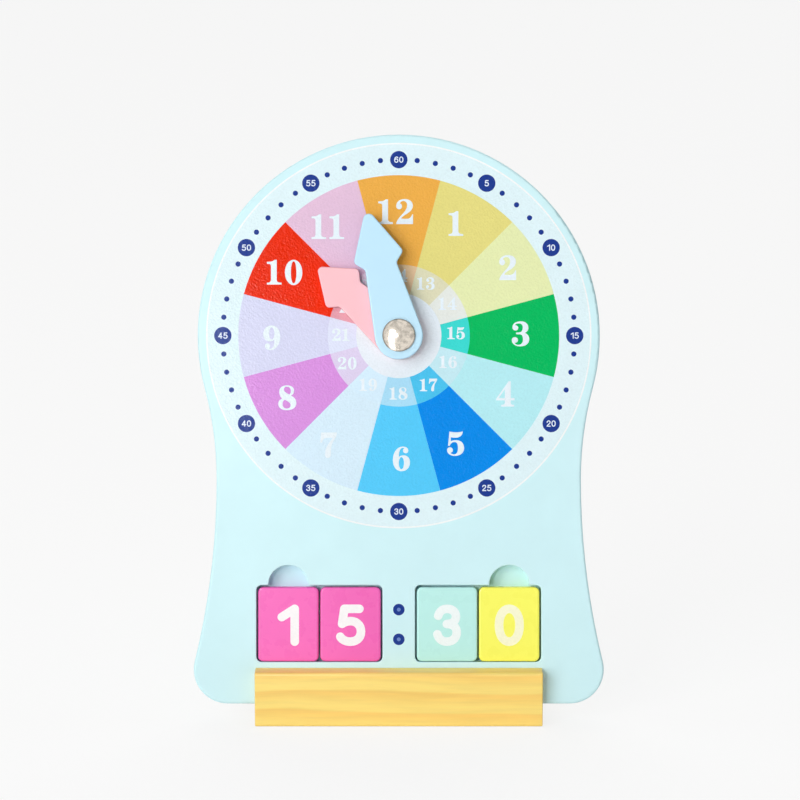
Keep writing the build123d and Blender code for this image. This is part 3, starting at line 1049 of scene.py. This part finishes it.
class CLOCK_OT_set_stage(bpy.types.Operator):
    """Lays the floor and sets the lamps and the camera"""

    bl_idname = "clock.set_stage"
    bl_label = "Set the Stage"

    def execute(self, context):
        settings = context.scene.clock_stage
        self.lay_floor(settings)
        self.hang_lamps(settings)
        self.set_camera(settings)
        context.scene.world = self.light_room(settings)
        context.scene.view_settings.view_transform = "Standard"
        return {"FINISHED"}

    def lay_floor(self, settings):
        """A wide flat sheet, a tenth of a millimetre below the stand."""
        reach, height = 12.0, -0.1 * MM
        corners = [(x * reach, y * reach, height) for x, y in ((-1, -1), (1, -1), (1, 1), (-1, 1))]
        data = bpy.data.meshes.new("paper_floor")
        data.from_pydata(corners, [], [(0, 1, 2, 3)])
        data.materials.append(matt_paper(settings.paper, settings.glow))
        floor = new_object("paper_floor", data)
        floor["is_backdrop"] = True

    def hang_lamps(self, settings):
        """A window with a small lamp that sharpens its shadows, a sky and a light from behind.

        The strip and the glint lamp light nothing. They only show in shiny and satin things, as a
        tall bright band and as glints in pebbled ink.
        """
        # Each lamp's width and height in metres, then how far it hangs to the left and above, in
        # degrees, and its distance in metres, and last whether it lights what it shines on.
        for name, power, size, place, lights in (
            ("soft_window", settings.window_power, (1.8, 2.7), (35, 14, 3.6), True),
            ("small_lamp", settings.lamp_power, (0.22, 0.22), (15, 11, 2.8), True),
            ("tall_strip", settings.strip_power, (0.05, 0.2), (38, -20, 0.1), False),
            ("glint_lamp", settings.glint_power, (0.02, 0.02), (30, 4, 0.28), False),
        ):
            lamp = bpy.data.lights.new(name, "AREA")
            lamp.energy, lamp.shape = power, "RECTANGLE"
            lamp.size, lamp.size_y = size
            self.hang(lamp, *place).visible_diffuse = lights
        for name, strength, place in (
            ("soft_sky", settings.sky, (25, 76, 1.0)),
            ("soft_back_light", settings.back_light, (180, 40, 1.0)),
        ):
            sun = bpy.data.lights.new(name, "SUN")
            sun.energy, sun.angle = strength, radians(60)
            self.hang(sun, *place).visible_glossy = False

    def hang(self, lamp, to_left, above, distance):
        """Puts a lamp at that distance from the dial's centre, turned towards it, out of sight."""
        left, up = radians(to_left), radians(above)
        way = Vector((-sin(left) * cos(up), -cos(left) * cos(up), sin(up)))
        hung = self.aim(lamp, DIAL_CENTRE + way * distance, way)
        hung.visible_camera = False
        return hung

    def aim(self, data, place, way):
        """Puts a lamp or a camera at that place, looking back along that way."""
        aimed = new_object(data.name, data)
        aimed.location = place
        aimed.rotation_mode = "QUATERNION"
        aimed.rotation_quaternion = way.to_track_quat("Z", "Y")
        return aimed

    def light_room(self, settings):
        """A white room that lights the clock evenly, and looks brighter than it lights."""
        world = bpy.data.worlds.new("even_room")
        world.use_nodes = True
        tree = world.node_tree
        tree.nodes.clear()
        looks = {"To Min": settings.room, "To Max": 0.93}  # nearly white when seen
        strength = add(tree, "MapRange", {"Value": seen_directly(tree), **looks})
        white = as_rgba(linear("#ffffff"))
        background = add(tree, "Background", {"Color": white, "Strength": strength})
        add(tree, "OutputWorld", {"Surface": background})
        return world

    def set_camera(self, settings):
        """A long lens that looks straight at the leaning board."""
        data = bpy.data.cameras.new("camera")
        data.lens = data.sensor_width * settings.camera_distance / settings.view_width
        data.clip_end = 100  # in metres, past the floor's far edge
        target = DIAL_CENTRE + RIGHT * settings.aim_right - UP * settings.aim_below
        bpy.context.scene.camera = self.aim(data, target + OUT * settings.camera_distance, OUT)


# --- The panel and the run ---

OPERATORS = (
    CLOCK_OT_paint_board,
    CLOCK_OT_print_ground,
    CLOCK_OT_print_sectors,
    CLOCK_OT_print_numbers,
    CLOCK_OT_print_minutes,
    CLOCK_OT_print_colon,
    CLOCK_OT_paint_tiles,
    CLOCK_OT_paint_hands,
    CLOCK_OT_plate_rivet,
    CLOCK_OT_finish_stand,
    CLOCK_OT_set_stage,
)
SETTINGS = {
    "clock_sizes": ClockPrintSizes,
    "clock_inks": ClockPrintInks,
    "clock_paints": ClockPaints,
    "clock_stage": ClockStage,
}


class CLOCK_PT_panel(bpy.types.Panel):
    """Lists the clock's settings and the steps that dress it"""

    bl_idname = "CLOCK_PT_panel"
    bl_label = "Teaching Clock"
    bl_space_type = "VIEW_3D"
    bl_region_type = "UI"
    bl_category = "Teaching Clock"

    def draw(self, context):
        layout = self.layout
        for operator in OPERATORS:
            layout.operator(operator.bl_idname)
        for name, group in SETTINGS.items():
            box = layout.box()
            box.label(text=group.__doc__)
            for setting in group.__annotations__:
                box.prop(getattr(context.scene, name), setting)


def register():
    """Registers the settings, the steps and the panel."""
    for name, group in SETTINGS.items():
        bpy.utils.register_class(group)
        setattr(bpy.types.Scene, name, bpy.props.PointerProperty(type=group))
    for item in (*OPERATORS, CLOCK_PT_panel):
        bpy.utils.register_class(item)


def unregister():
    """Takes away what register added."""
    for item in reversed((*OPERATORS, CLOCK_PT_panel)):
        bpy.utils.unregister_class(item)
    for name, group in SETTINGS.items():
        delattr(bpy.types.Scene, name)
        bpy.utils.unregister_class(group)


def main():
    """Dresses the clock, and works out the size of its CAD model and of what is seen."""
    register()
    for operator in OPERATORS:
        group, name = operator.bl_idname.split(".")
        getattr(getattr(bpy.ops, group), name)()
    boxes = {"cad": CAD_BOX, "visual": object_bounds()}
    {name: [list(corner) for corner in box] for name, box in boxes.items()}


if __name__ == "__main__":
    main()
